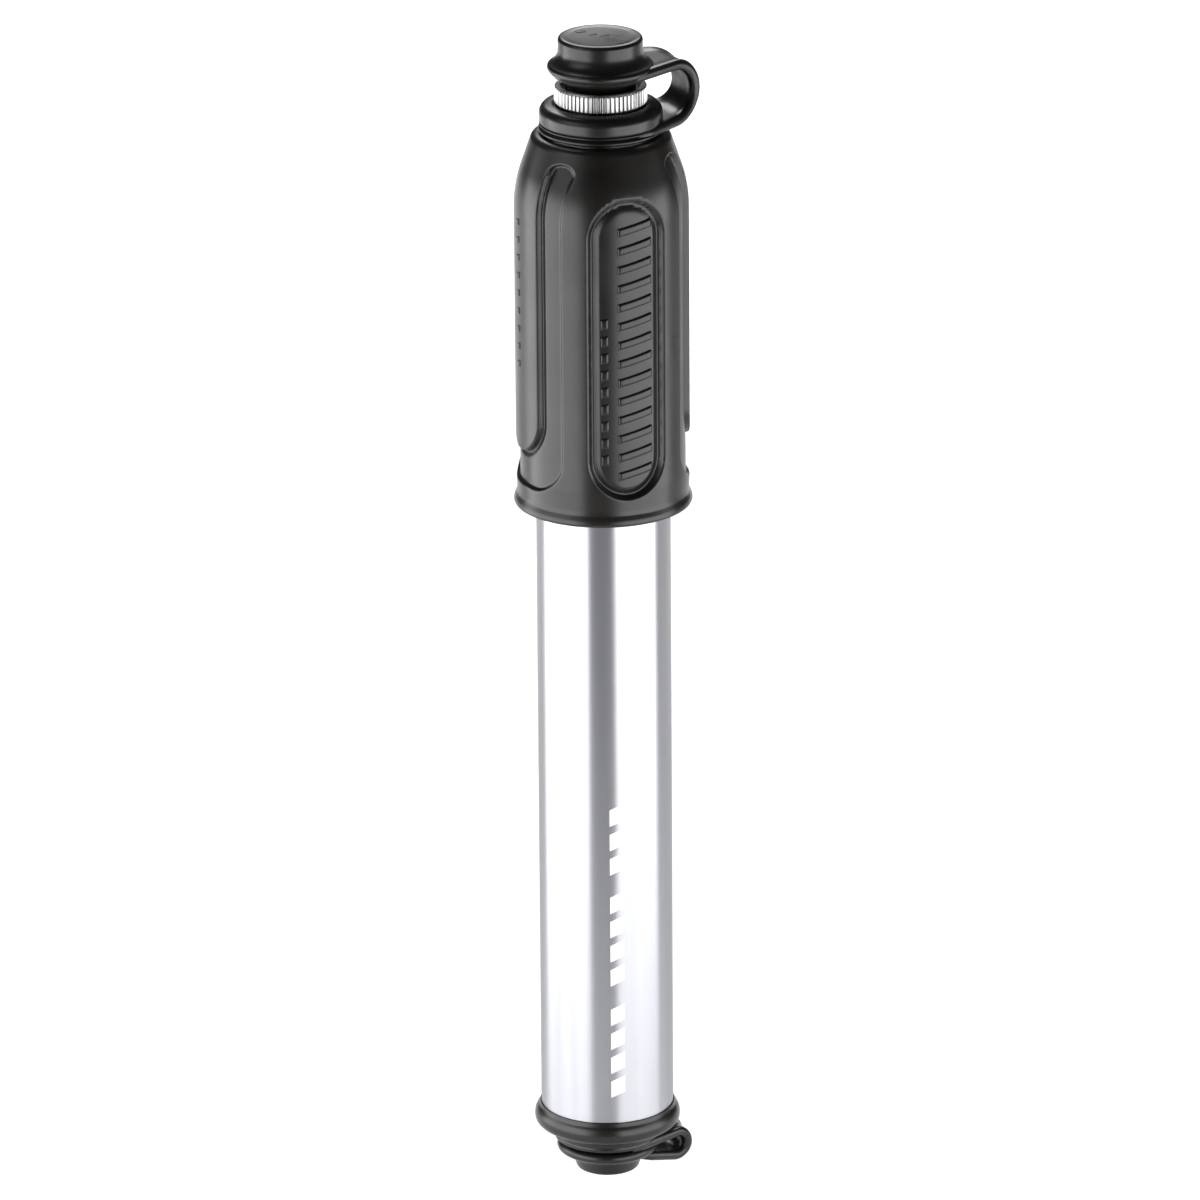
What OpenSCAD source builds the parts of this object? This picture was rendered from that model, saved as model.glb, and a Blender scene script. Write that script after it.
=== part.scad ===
/* [Overall] */
// Length from the flat end of the bottom plug to the top of the top cap
pump_len = 170; // [166:1:200]
// Outer diameter of the barrel
barrel_d = 19; // [18.4:0.1:19.4]
// Wall of the barrel
barrel_wall = 1.1; // [1:0.1:1.2]

/* [Handle] */
// Outer diameter of the rubber grip sleeve
grip_d = 24.5; // [24.2:0.1:25]
// Length of the rubber grip sleeve
grip_len = 54.3; // [53:0.1:58]
// Diameter of the rim at the open end of the sleeve
rim_d = 25.2; // [24.9:0.1:25.6]
// Depth of the front and back thumb panels
panel_depth = 1; // [0.5:0.05:1.1]
// Depth of the side channels
channel_depth = 0.6; // [0.4:0.05:0.8]

/* [Rod and piston] */
// Outer diameter of the hollow piston rod
rod_d = 10; // [9.8:0.1:10.2]
// Bore of the piston rod, where the hose is stored
rod_bore = 8.6; // [8.5:0.05:8.7]

/* [Hose] */
// Outer diameter of the hose
hose_d = 7.2; // [6.8:0.1:7.3]
// Outer diameter of the knurled head
knurl_d = 13; // [12.8:0.1:13.1]
// Number of flutes in the knurl
knurl_flutes = 64; // [48:1:72]
// Bore that a tyre valve screws into
valve_bore = 7.8; // [7.6:0.1:8]

/* [Rubber caps] */
// Width of the top strap
top_strap_w = 6.4; // [5:0.1:7]
// Width of the bottom strap
bottom_strap_w = 6; // [5:0.1:6.5]
// How far the top strap is turned about the pump's axis
top_strap_turn = 11; // [0:1:30]

/* [Air port] */
// Bore of the port that the hose screws into
port_bore = 7; // [6.9:0.1:7.2]
// Length of the port's wall
port_len = 4.1; // [3.8:0.1:4.4]

/* [Hidden] */
$fn = 96;

fit = 0.02;         // gap between two parts that are pressed or screwed together
run = 0.05;         // gap on a radius between two parts that slide
far = 60;           // longer than anything that is cut away

// Barrel and its end cap, up from the flat end of the bottom plug
barrel_r = barrel_d / 2;
barrel_bore_r = barrel_r - barrel_wall;
boss_z = 5;         // end of the port boss
flange_z = 6.7;     // underside of the end cap's flange
tube_z0 = 8.6;      // lower end of the barrel tube
mouth_port_r = 3.9; // plain mouth of the port, which the bottom plug's stem fills
port_r = port_bore / 2;
port_z0 = boss_z + 1.2;
port_z1 = port_z0 + port_len;
seal_r = 3;         // recess for the port seal and the spring retainer
seal_z1 = port_z1 + 2.2;
chamber_r = 2.3;    // room that the check ball moves in
seat_r = 0.9;       // hole that the check ball closes
seat_z = seal_z1 + 4.8;
end_cap_z1 = seat_z + 1;
ball_r = 1.5;
ball_z = seat_z - sqrt(ball_r * ball_r - seat_r * seat_r) - fit;

// Piston, resting just above the end cap
piston_z0 = end_cap_z1 + 0.4;
piston_r = barrel_bore_r - 0.3;
rod_r = rod_d / 2;
rod_bore_r = rod_bore / 2;
rod_z0 = piston_z0 + 4.6;
piston_z1 = rod_z0 + 5;

// Handle, down from the top of the cap
head_z1 = pump_len - 10.5;      // top of the neck
grip_z1 = pump_len - 13.8;
grip_z0 = grip_z1 - grip_len;
shoulder_z = pump_len - 22.5;   // where the head's shoulder meets the tube
store_z = pump_len - 19;        // floor of the pocket that holds the chuck
rod_z1 = pump_len - 21;
head_z0 = pump_len - 29;        // lower end of the head's insert
bumper_h = 1.5;
neck_r = 7.45;
store_r = 6.2;                  // radius of that pocket
handle_bore_r = barrel_r + 0.3;
handle_r = handle_bore_r + 0.9;
grip_r = grip_d / 2;
taper = 19;                     // slope of the grip's shoulder
tube_lip_z = grip_z0 + 1.1;     // lower end of the handle tube, on the sleeve's inner lip

// Gland at the top of the barrel, just under the handle's bumper
gland_z1 = head_z0 - bumper_h - 0.2;
tube_z1 = gland_z1 - 2.8;
gland_z0 = tube_z1 - 9;
bush_r = 6.2;

// Hose and its two ends
knurl_r = knurl_d / 2;
knurl_z1 = pump_len - 7;
knurl_z0 = knurl_z1 - 2.5;
chuck_z0 = pump_len - 18.5;
shank_r = 4.9;
valve_r = valve_bore / 2;
mouth_r = 5.6;
mouth_z = knurl_z1 - 1.7;
grommet_r = 4.1;    // undercut below the thread that holds the rubber grommet
valve_z0 = chuck_z0 + 3.5;
valve_z1 = valve_z0 + 2.4;
hose_r = hose_d / 2;
barb_r = 1.6;
ferrule_r = 4;
fitting_z0 = piston_z1 - 1.5;
fitting_z1 = fitting_z0 + 8;
button_z = chuck_z0 + 1.75;
button_r = 1.1;
button_bore = 1.9;  // from the axis to the floor of the bleed button's bore

// Straps: the centre of each bend, out from the axis and up, and the bend's middle radius
top_bend = [9.6, pump_len - 8.8];
top_bend_r = 4;
top_strap_t = 1.6;
bottom_bend = [9.5, 3.05];
bottom_bend_r = 1.85;
bottom_strap_t = 1.4;
bottom_leg_rise = 13;           // slope of the lower leg

// Points on an arc about c from angle a0 to a1
function arc(c, r, a0, a1, n = 8) = [
    for (i = [0:n]) let (a = a0 + (a1 - a0) * i / n) c + r * [cos(a), sin(a)]
];

// A turned solid from an outline of [radius, height] points
module turned(points) {
    rotate_extrude() polygon(points);
}

// A plain ring with square edges
module ring(r_out, r_in, z0, z1) {
    difference() {
        translate([0, 0, z0]) cylinder(r = r_out, h = z1 - z0);
        translate([0, 0, z0 - 1]) cylinder(r = r_in, h = z1 - z0 + 2);
    }
}

module disc(r, z0, z1) {
    translate([0, 0, z0]) cylinder(r = r, h = z1 - z0);
}

// An o-ring whose section, of radius r, is centred on a circle of radius ring_r
module o_ring(ring_r, r, z) {
    translate([0, 0, z]) rotate_extrude() translate([ring_r, 0]) circle(r = r, $fn = 32);
}

// A coil spring standing on z = 0: the wire is swept round its helix
module coil_spring(coil_r, wire_r, height, turns) {
    sides = 6;
    steps = 18;
    last = steps * turns;
    rise = height - 2 * wire_r;
    points = [
        for (i = [0:last]) let (a = 360 * i / steps)
            for (j = [0:sides - 1]) let (b = 360 * j / sides, r = coil_r + wire_r * cos(b))
                [r * cos(a), r * sin(a), wire_r + rise * i / last + wire_r * sin(b)]
    ];
    walls = [
        for (i = [0:last - 1]) for (j = [0:sides - 1]) let (k = (j + 1) % sides)
            [sides * i + j, sides * i + k, sides * (i + 1) + k, sides * (i + 1) + j]
    ];
    start = [for (j = [sides - 1:-1:0]) j];
    end = [for (j = [0:sides - 1]) sides * last + j];
    polyhedron(points, concat([start], walls, [end]));
}

// ---- Barrel ----

module barrel_tube() {
    color("silver") turned([
        [barrel_bore_r, tube_z0], [barrel_r, tube_z0], [barrel_r, tube_z1 - 0.4],
        [barrel_r - 0.4, tube_z1], [barrel_bore_r, tube_z1],
    ]);
}

module barrel_end_cap() {
    insert_r = barrel_bore_r - fit;
    groove_z = tube_z0 + 2.4;
    color("silver") difference() {
        turned([
            [0, boss_z], [4.4, boss_z], [4.4, flange_z], [7.9, flange_z],
            [barrel_r - 0.05, flange_z + 1.2], [barrel_r - 0.05, tube_z0 - fit],
            [insert_r, tube_z0 - fit], [insert_r, end_cap_z1], [0, end_cap_z1],
        ]);
        disc(mouth_port_r, boss_z - 1, port_z0 + 0.01);
        disc(port_r, port_z0, port_z1);
        disc(seal_r, port_z1 - 0.1, seal_z1);
        disc(chamber_r, seal_z1 - 0.1, seat_z);
        disc(seat_r, seat_z - 0.1, end_cap_z1 + 1);
        ring(insert_r + 1, insert_r - 1.05, groove_z, groove_z + 1.4);
    }
}

module end_cap_o_ring() {
    color("black") o_ring(barrel_bore_r - fit - 0.53, 0.5, tube_z0 + 3.1);
}

module port_seal() {
    color("black") ring(seal_r - fit, 1.6, port_z1 + 0.05, port_z1 + 1);
}

module check_spring_retainer() {
    z0 = port_z1 + 1.05;
    color("goldenrod") difference() {
        disc(seal_r - fit, z0, seal_z1 - fit);
        disc(0.7, z0 - 1, seal_z1 + 1);
        for (a = [0:90:270]) rotate(a) translate([1.7, 0, 0]) disc(0.35, z0 - 1, seal_z1 + 1);
    }
}

module check_spring() {
    height = ball_z - ball_r - seal_z1 - 0.03;
    color("silver") translate([0, 0, seal_z1]) coil_spring(1.05, 0.14, height, 4);
}

module check_ball() {
    color("silver") translate([0, 0, ball_z]) sphere(r = ball_r);
}

// ---- Gland at the top of the barrel ----

module gland_nut() {
    insert_r = barrel_bore_r - fit;
    color("dimgray") difference() {
        union() {
            disc(insert_r, gland_z0, tube_z1 + 0.1);
            disc(barrel_r - 0.1, tube_z1 + fit, gland_z1);
        }
        disc(rod_r + 0.3, gland_z0 - 1, gland_z1 + 1);
        disc(bush_r + fit, gland_z0 - 1, tube_z1 - 1);
        disc(6.8, gland_z1 - 2.2, gland_z1 + 1);
        for (a = [0:60:300]) rotate(a) translate([8.1, 0, 0]) disc(0.6, gland_z1 - 1.5, gland_z1 + 1);
    }
}

module gland_bushing() {
    color("ivory") ring(bush_r, rod_r + run, gland_z0 + 0.3, tube_z1 - 1 - fit);
}

module gland_wiper() {
    z0 = gland_z1 - 2.2 + fit;
    color("black") turned([
        [rod_r + 0.5, z0], [6.8 - fit, z0], [6.8 - fit, gland_z1 - 0.5], [6.1, gland_z1 - 0.1],
        [rod_r + 0.06, gland_z1 - 0.1], [rod_r + 0.06, gland_z1 - 0.5],
    ]);
}

module gland_bumper() {
    color("black") ring(7.6, rod_r + 0.35, gland_z0 - 1.5, gland_z0 - fit);
}

// ---- Bottom rubber cap ----

module bottom_cap_collar() {
    r = barrel_r + fit;
    color("#2b2a29") turned(concat(
        [[4.5, 4.8], [7.3, 4.8]],
        arc([7.35, 5.2], 0.4, -90, 0, 4),
        arc([8.25, 5.75], 0.5, 180, 120, 4),
        arc([9.2, 8], 1, -75, 0),
        arc([8.3, 8.4], 1.9, 0, 42),
        [[r + 0.15, 10.4], [r, 10.3], [r, flange_z + 1.15], [7.95, flange_z - 0.05],
            [4.5, flange_z - 0.05]]
    ));
}

// Seen from above, a strap of the given width that flares out to meet a round flange
module flared_strap(width, flange_r) {
    reach = 13;
    intersection() {
        linear_extrude(pump_len) polygon([
            [3, -flange_r + 0.6], [reach, -width / 2], [far, -width / 2],
            [far, width / 2], [reach, width / 2], [3, flange_r - 0.6],
        ]);
        translate([0, far / 2, 0]) rotate([90, 0, 0]) linear_extrude(far) children();
    }
}

// A bend with a level upper leg to the collar and a lower leg that rises to the plug's flange
module bottom_strap_outline() {
    c = bottom_bend;
    half = bottom_strap_t / 2;
    rise = bottom_leg_rise;
    translate(c) difference() {
        circle(r = bottom_bend_r + half);
        circle(r = bottom_bend_r - half);
        polygon([[0, 0], [0, far], [-far, far], [-far, -far], -far * [sin(rise), cos(rise)]]);
    }
    translate([5, c[1] + bottom_bend_r - half]) square([c[0] - 4.99, bottom_strap_t]);
    translate(c) rotate(-rise) translate([-6.3, -bottom_bend_r - half]) square([6.31, bottom_strap_t]);
}

module bottom_cap_strap() {
    color("#2b2a29") difference() {
        flared_strap(bottom_strap_w, 7.6) bottom_strap_outline();
        disc(6.3, 0, 3);
        disc(7.7, 2.6, 4.85);
        bottom_cap_collar();
    }
}

module bottom_cap_plug_solid() {
    turned(concat(
        [[0, 0]],
        arc([4.1, 0.5], 0.5, -90, 0, 6),
        arc([6.75, 0.9], 2, 180, 115, 6),
        arc([6.6, 3.45], 0.7, -60, 60, 6),
        [[6.6, 4.2], [3.6, 4.2], [3.6, 5.6], [3.3, 5.9], [0, 5.9]]
    ));
}

module bottom_cap_plug() {
    color("#2b2a29") difference() {
        bottom_cap_plug_solid();
        disc(2.4, 3.4, 7);
    }
}

// ---- Piston and rod ----

module piston_o_ring() {
    color("black") o_ring(barrel_bore_r - run - 0.68, 0.68, piston_z0 + 2.3);
}

module piston_guide_ring() {
    color("ivory") ring(barrel_bore_r - run, piston_r - 0.85, piston_z0 + 5.6, piston_z0 + 8.2);
}

module piston_head() {
    color("goldenrod") difference() {
        disc(piston_r, piston_z0, piston_z1);
        difference() {
            disc(rod_r + fit, rod_z0, piston_z1 + 1);
            disc(rod_bore_r - fit, rod_z0 - 1, rod_z0 + 3);
        }
        ring(piston_r + 1, piston_r - 1.3, piston_z0 + 1.2, piston_z0 + 3.4);
        ring(piston_r + 1, piston_r - 0.9, piston_z0 + 5.5, piston_z0 + 8.3);
        ring(rod_bore_r + 0.1, rod_bore_r - 0.9, rod_z0 + 1, rod_z0 + 2.2);
    }
}

module rod_o_ring() {
    color("black") o_ring(rod_bore_r - 0.46, 0.42, rod_z0 + 1.6);
}

module piston_rod() {
    color("silver") ring(rod_r, rod_bore_r, rod_z0 + fit, rod_z1);
}

// ---- Handle ----

module handle_head() {
    insert_r = handle_bore_r - fit;
    groove_z = rod_z1 + 0.5;
    color("silver") difference() {
        turned([
            [0, head_z0], [insert_r, head_z0], [insert_r, shoulder_z], [handle_r, shoulder_z],
            [handle_r, shoulder_z + 0.5], [8.6, shoulder_z + 7], [neck_r, shoulder_z + 8.2],
            [neck_r, head_z1 - 0.3], [neck_r - 0.3, head_z1], [0, head_z1],
        ]);
        disc(rod_r + fit, head_z0 - 1, rod_z1 + fit);
        disc(rod_bore_r, rod_z1 - 1, store_z + 1);
        disc(store_r, store_z, head_z1 + 1);
        ring(ferrule_r + 0.9, ferrule_r, groove_z, groove_z + 1);
    }
}

module handle_tube() {
    color("silver") ring(handle_r, handle_bore_r, tube_lip_z, shoulder_z - fit);
}

module handle_bumper() {
    color("black") ring(8.4, rod_r + run, head_z0 - bumper_h, head_z0 - fit);
}

module storage_o_ring() {
    color("black") o_ring(ferrule_r + run + 0.4, 0.4, rod_z1 + 1);
}

// Outside of the sleeve, moved in by sink: rounded top edge, tapered shoulder, straight body, flared rim
function grip_outline(sink) = [
    for (p = concat(
        [[rim_d / 2 - 0.3, grip_z0], [rim_d / 2, grip_z0 + 0.4], [grip_r - 0.15, grip_z0 + 1.8]],
        [[grip_r, grip_z0 + 5]],
        arc([grip_r - 18, grip_z1 - 10.7], 18, 0, taper),
        arc([grip_r - 3.57, grip_z1 - 1.3], 1.3, taper, 90, 6)
    )) p - [sink, 0]
];

module grip_outside(sink) {
    turned(concat([[0, grip_z0]], grip_outline(sink), [[0, grip_z1]]));
}

module panel_outline() {
    w = 5.75;
    z0 = grip_z0 + 3.8 + w;
    z1 = grip_z1 - 6.7 - w;
    translate([0, z0]) circle(r = w);
    translate([0, z1]) circle(r = w);
    translate([-w, z0]) square([2 * w, z1 - z0]);
}

// A round-cornered frame open at the top, round a tongue that hangs from the shoulder
module channel_outline() {
    tongue = 4.9;
    arm = 1.9;
    corner = 5;
    w = tongue + 2 * arm;
    z0 = grip_z0 + 3.8;
    z1 = grip_z1 - 2.1 - arm;
    difference() {
        union() {
            for (side = [-1, 1]) {
                translate([side * (w - corner), z0 + corner]) circle(r = corner);
                translate([side * (w - arm), z1]) circle(r = arm);
            }
            translate([corner - w, z0]) square([2 * (w - corner), corner + 1]);
            translate([-w, z0 + corner]) square([2 * w, z1 - z0 - corner]);
        }
        translate([0, z0 + 10.1]) circle(r = tongue);
        translate([-tongue, z0 + 10.1]) square([2 * tongue, far]);
    }
}

module sunk(depth, turn) {
    difference() {
        rotate([90, 0, turn]) linear_extrude(far / 2) children();
        grip_outside(depth);
    }
}

module grip_sleeve() {
    bore_r = handle_r + fit;
    color("#2b2a29") difference() {
        grip_outside(0);
        disc(bore_r, tube_lip_z, shoulder_z + 0.5);
        disc(handle_bore_r + run, grip_z0 - 1, tube_lip_z + 0.1);
        turned([
            [0, shoulder_z], [bore_r, shoulder_z], [bore_r, shoulder_z + 0.55], [8.63, shoulder_z + 7.03],
            [neck_r + fit, shoulder_z + 8.23], [neck_r + fit, grip_z1 + 1], [0, grip_z1 + 1],
        ]);
        for (turn = [0, 180]) sunk(panel_depth, turn) panel_outline();
        for (turn = [90, 270]) sunk(channel_depth, turn) channel_outline();
    }
}

// ---- Top rubber cap ----

module top_cap_collar() {
    z = grip_z1 + 0.2;
    r = neck_r + run;
    color("#2b2a29") turned(concat(
        [[r, z], [8.3, z]],
        arc([8.3, z + 0.6], 0.5, -80, 60, 5),
        [[8.4, z + 1.3]],
        arc([7.3, z + 2.6], 1.35, -35, 80),
        [[7.0, z + 3.95], [6.8, z + 3.85], [6.75, z + 3.15], [r, z + 3.15]]
    ));
}

module top_strap_outline() {
    c = top_bend;
    half = top_strap_t / 2;
    difference() {
        translate(c) circle(r = top_bend_r + half);
        translate(c) circle(r = top_bend_r - half);
        translate(c - [far, far / 2]) square([far, far]);
    }
    for (side = [-1, 1])
        translate([5, c[1] + side * top_bend_r - half]) square([c[0] - 5 + 0.01, top_strap_t]);
}

module top_cap_strap() {
    z = grip_z1 + 0.2;
    color("#2b2a29") difference() {
        rotate(top_strap_turn) flared_strap(top_strap_w, 7.6) top_strap_outline();
        disc(7.6, z - 1, z + 3);
        disc(7.85, z + 3, pump_len);
        top_cap_collar();
    }
}

module top_cap_plug_solid() {
    t = pump_len;
    turned(concat(
        [[0, t - 8.3], [4.6, t - 8.3], [4.9, t - 8], [5, t - 6]],
        arc([5.9, t - 5.75], 0.25, -90, -45, 4),
        arc([6.6, t - 4.3], 0.9, -55, 50, 7),
        arc([8.35, t - 1.75], 2.4, 230, 180, 6),
        arc([5.35, t - 0.6], 0.6, 0, 90, 6),
        [[0, t]]
    ));
}

module top_cap_plug() {
    color("#2b2a29") difference() {
        top_cap_plug_solid();
        disc(3.4, pump_len - 9, pump_len - 4);
    }
}

// ---- Hose ----

module knurl_outline() {
    difference() {
        circle(r = knurl_r);
        for (i = [0:knurl_flutes - 1]) rotate(360 * i / knurl_flutes)
            translate([knurl_r + 0.1, 0]) circle(r = 0.24, $fn = 16);
    }
}

module hose_chuck() {
    color("gainsboro") difference() {
        union() {
            intersection() {
                translate([0, 0, knurl_z0]) linear_extrude(knurl_z1 - knurl_z0) knurl_outline();
                turned([
                    [0, knurl_z0], [knurl_r - 0.25, knurl_z0], [knurl_r + 0.1, knurl_z0 + 0.35],
                    [knurl_r + 0.1, knurl_z1 - 0.35], [knurl_r - 0.25, knurl_z1], [0, knurl_z1],
                ]);
            }
            disc(knurl_r - 0.15, head_z1 + 0.05, knurl_z0 + 0.1);
            disc(shank_r, chuck_z0, knurl_z0);
            disc(barb_r, chuck_z0 - 9, chuck_z0 + 0.1);
        }
        disc(mouth_r, mouth_z, knurl_z1 + 1);
        disc(valve_r, valve_z1, mouth_z + 0.1);
        disc(grommet_r, valve_z0, valve_z1 + 0.01);
        disc(0.8, chuck_z0 - 10, valve_z0 + 0.1);
        translate([0, 0, button_z]) rotate([90, 0, 0]) {
            cylinder(r = 0.4, h = shank_r);
            translate([0, 0, button_bore]) cylinder(r = button_r + run, h = shank_r);
        }
    }
}

module chuck_grommet() {
    color("black") ring(grommet_r - fit, 2.6, valve_z0 + fit, valve_z1 - 0.2);
}

module valve_pin() {
    color("goldenrod") difference() {
        union() {
            disc(2.5, valve_z0 + fit, valve_z0 + 0.7);
            disc(0.6, valve_z0 + 0.6, valve_z0 + 2.2);
        }
        for (a = [60:120:300]) rotate(a) translate([1.5, 0, 0]) disc(0.5, valve_z0 - 1, valve_z0 + 2);
    }
}

module chuck_ferrule() {
    color("silver") ring(ferrule_r, hose_r + fit, chuck_z0 - 10.5, chuck_z0 - fit);
}

module hose_tube() {
    color("#1d1d1f") ring(hose_r, barb_r + fit, fitting_z1 + fit, chuck_z0 - 0.1);
}

module fitting_ferrule() {
    color("silver") ring(ferrule_r, hose_r + fit, fitting_z1 + fit, fitting_z1 + 10.5);
}

module hose_fitting() {
    color("silver") difference() {
        union() {
            disc(3.42, fitting_z0, fitting_z1 - 3.4);
            disc(3, fitting_z1 - 3.5, fitting_z1 - 2.3);
            translate([0, 0, fitting_z1 - 2.4]) cylinder(r = 4, h = 2.4, $fn = 6);
            disc(barb_r, fitting_z1 - 0.1, fitting_z1 + 9);
        }
        disc(0.8, fitting_z0 - 1, fitting_z1 + 10);
    }
}

module fitting_o_ring() {
    color("black") o_ring(3.5, 0.46, fitting_z1 - 2.9);
}

// The bleed button slides into the side of the chuck, towards the axis
module bleed_button() {
    color("crimson") translate([0, 0, button_z]) rotate([90, 0, 0]) difference() {
        union() {
            translate([0, 0, 3]) cylinder(r = button_r, h = 0.6);
            translate([0, 0, 3.5]) cylinder(r = 0.7, h = 0.6);
            translate([0, 0, 4]) cylinder(r = button_r, h = 1.65);
        }
        translate([0, 0, 5.45]) cylinder(r = 0.6, h = 1);
    }
}

module bleed_o_ring() {
    color("black") translate([0, 0, button_z]) rotate([90, 0, 0]) o_ring(0.9, 0.18, 3.8);
}

module bleed_spring() {
    color("silver") translate([0, -button_bore - 0.01, button_z]) rotate([90, 0, 0])
        coil_spring(0.8, 0.11, 1.07, 3);
}

barrel_tube();
barrel_end_cap();
end_cap_o_ring();
port_seal();
check_spring_retainer();
check_spring();
check_ball();
gland_nut();
gland_bushing();
gland_wiper();
gland_bumper();
bottom_cap_collar();
bottom_cap_strap();
bottom_cap_plug();
piston_o_ring();
piston_guide_ring();
piston_head();
rod_o_ring();
piston_rod();
handle_head();
handle_tube();
handle_bumper();
storage_o_ring();
grip_sleeve();
top_cap_collar();
top_cap_strap();
top_cap_plug();
hose_chuck();
chuck_grommet();
valve_pin();
chuck_ferrule();
hose_tube();
fitting_ferrule();
hose_fitting();
fitting_o_ring();
bleed_button();
bleed_o_ring();
bleed_spring();
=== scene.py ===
import math

import bmesh
import bpy
import numpy as np
from mathutils import Matrix, Vector


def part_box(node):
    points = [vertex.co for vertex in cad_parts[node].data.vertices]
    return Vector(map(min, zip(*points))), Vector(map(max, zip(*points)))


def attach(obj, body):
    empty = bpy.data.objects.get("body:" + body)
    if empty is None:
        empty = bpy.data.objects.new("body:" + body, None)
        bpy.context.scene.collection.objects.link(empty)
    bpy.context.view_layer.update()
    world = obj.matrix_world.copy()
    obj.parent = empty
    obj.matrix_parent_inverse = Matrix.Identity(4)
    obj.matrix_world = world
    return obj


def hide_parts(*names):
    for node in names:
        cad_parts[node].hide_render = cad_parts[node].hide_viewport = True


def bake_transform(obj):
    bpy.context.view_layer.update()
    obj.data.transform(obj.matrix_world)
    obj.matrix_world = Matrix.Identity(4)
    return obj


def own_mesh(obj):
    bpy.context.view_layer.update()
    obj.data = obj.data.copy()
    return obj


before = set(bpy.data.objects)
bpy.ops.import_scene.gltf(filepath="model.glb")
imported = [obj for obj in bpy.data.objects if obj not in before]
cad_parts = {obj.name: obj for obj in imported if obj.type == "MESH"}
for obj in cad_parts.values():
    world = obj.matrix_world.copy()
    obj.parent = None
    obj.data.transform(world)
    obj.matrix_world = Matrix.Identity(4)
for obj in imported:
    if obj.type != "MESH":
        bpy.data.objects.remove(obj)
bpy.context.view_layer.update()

MM = 0.001


def heights(node):
    """Where a CAD node starts and ends, in millimetres up the pump's axis."""
    low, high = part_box(node)
    return round(low[2] / MM, 3), round(high[2] / MM, 3)


# Heights and radii that follow the CAD model, in millimetres
PUMP_LEN = heights("top_cap_plug")[1]
TUBE_Z0, TUBE_Z1 = heights("barrel_tube")
GRIP_Z0, GRIP_Z1 = heights("grip_sleeve")
BARREL_R, BARREL_BORE = 9.5, 8.4
GRIP_R, RIM_R = 12.25, 12.6
SLEEVE_BORE = 10.72
SHANK_R, FLUTE_R, LAND_R = 6.345, 6.365, 6.41      # the chuck's shank, and its knurl's hollows and tops

# The top strap points a little round from the bottom one
TOP_TURN = math.radians(11)


# ---------- Outlines ----------

def arc(centre, radius, start, end, steps=8):
    """Points on an arc from angle start to end, in degrees."""
    turns = [math.radians(start + (end - start) * i / steps) for i in range(steps + 1)]
    return [(centre[0] + radius * math.cos(t), centre[1] + radius * math.sin(t)) for t in turns]


def rounded(corners, steps=5, support=0.04):
    """A closed outline from (x, y, radius) corners. A point beside each end of an arc keeps the flats flat."""
    points = []
    count = len(corners)
    for i, (x, y, radius) in enumerate(corners):
        here = Vector((x, y))
        if radius <= 0:
            points.append((x, y))
            continue
        before = (Vector(corners[i - 1][:2]) - here).normalized()
        after = (Vector(corners[(i + 1) % count][:2]) - here).normalized()
        half = before.angle(after) / 2
        reach = radius / math.tan(half)
        middle = here + (before + after).normalized() * (radius / math.sin(half))
        first, last = here + before * reach, here + after * reach
        points.append(tuple(first + before * support))
        a0 = math.atan2(first.y - middle.y, first.x - middle.x)
        a1 = math.atan2(last.y - middle.y, last.x - middle.x)
        sweep = (a1 - a0 + math.pi) % (2 * math.pi) - math.pi
        for k in range(steps + 1):
            a = a0 + sweep * k / steps
            points.append((middle.x + radius * math.cos(a), middle.y + radius * math.sin(a)))
        points.append(tuple(last + after * support))
    return points


# ---------- Meshes ----------

def new_piece(name, verts, faces, slot, body, sharp=40):
    """A closed piece from points in millimetres, with its normals outward and its hard edges kept."""
    mesh = bpy.data.meshes.new(name)
    mesh.from_pydata([(x * MM, y * MM, z * MM) for x, y, z in verts], [], faces)
    work = bmesh.new()
    work.from_mesh(mesh)
    bmesh.ops.recalc_face_normals(work, faces=work.faces)
    work.to_mesh(mesh)
    work.free()
    mesh.shade_smooth()
    mesh.set_sharp_from_angle(angle=math.radians(sharp))
    piece = bpy.data.objects.new(name, mesh)
    bpy.context.scene.collection.objects.link(piece)
    piece.data.materials.append(MATERIALS[slot])
    if body:
        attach(piece, body)
    return piece


def turned(name, outline, slot, body, node, segments=192, sharp=40):
    """A closed outline of (radius, height), turned about the pump's axis, in a CAD node's place."""
    verts, faces, rows = [], [], []
    for r, z in outline:
        if r == 0:
            rows.append([len(verts)])
            verts.append((0, 0, z))
            continue
        rows.append(list(range(len(verts), len(verts) + segments)))
        for k in range(segments):
            a = 2 * math.pi * k / segments
            verts.append((r * math.cos(a), r * math.sin(a), z))
    for low, high in zip(rows, rows[1:] + rows[:1]):
        for k in range(segments):
            n = (k + 1) % segments
            if len(low) == 1 and len(high) == 1:
                break
            if len(low) == 1:
                faces.append((low[0], high[n], high[k]))
            elif len(high) == 1:
                faces.append((low[k], low[n], high[0]))
            else:
                faces.append((low[k], low[n], high[n], high[k]))
    piece = new_piece(name, verts, faces, slot, body, sharp)
    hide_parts(node)


def swept(name, sections, slot, body, sharp):
    """A solid through sections, each a ring of points already placed in space."""
    verts = [p for section in sections for p in section]
    size = len(sections[0])
    faces = []
    for i in range(len(sections) - 1):
        for j in range(size):
            k = (j + 1) % size
            faces.append((size * i + j, size * i + k, size * (i + 1) + k, size * (i + 1) + j))
    last = size * (len(sections) - 1)
    faces.append(tuple(range(size - 1, -1, -1)))
    faces.append(tuple(range(last, last + size)))
    return new_piece(name, verts, faces, slot, body, sharp)


# ---------- Materials ----------

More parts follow.
